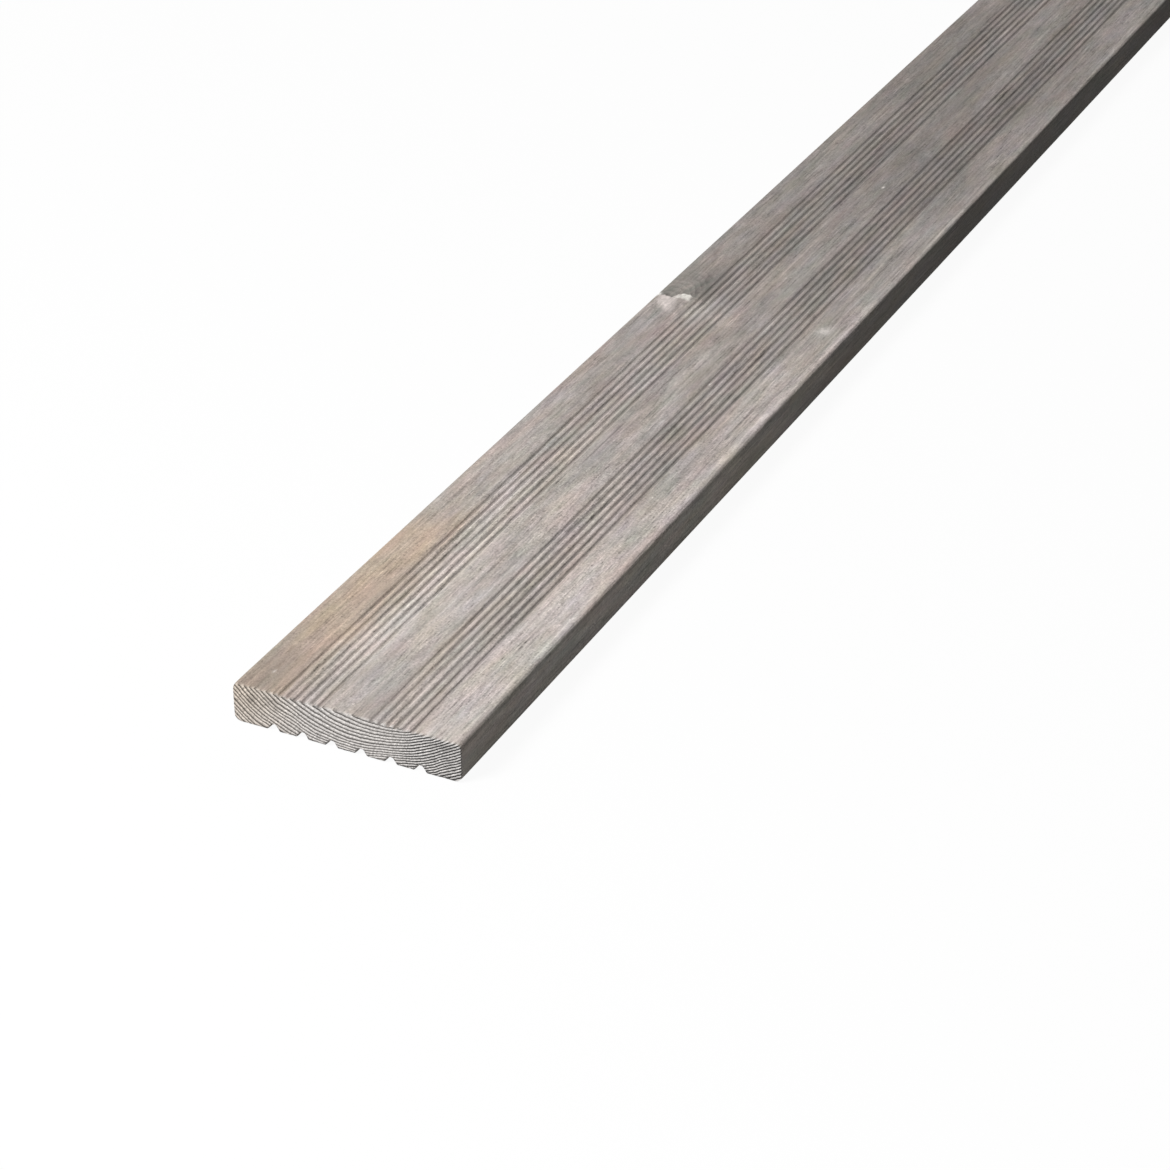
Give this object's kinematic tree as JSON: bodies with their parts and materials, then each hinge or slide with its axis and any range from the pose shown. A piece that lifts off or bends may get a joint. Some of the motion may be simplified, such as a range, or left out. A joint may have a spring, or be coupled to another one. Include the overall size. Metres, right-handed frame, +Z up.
{
  "type": "grooved pine decking board",
  "caption": "Softwood deck board planed from one plank, fine grooves on the tread face, coarse drainage grooves on the joist face, rounded long edges, square-cut ends.",
  "frame": {"origin": "centre of the underside, on the plane of the rib faces that lie on the joists", "axes": "+X across the board, +Y along it, away from the end that the picture shows, +Z up out of the finely grooved tread face"},
  "size_m": [0.145, 2.4, 0.025],
  "materials": {
    "grey_pine": "planed softwood, impregnated grey, matt"
  },
  "bodies": {
    "root": {"deck_board": "grey_pine"}
  },
  "joints": []
}
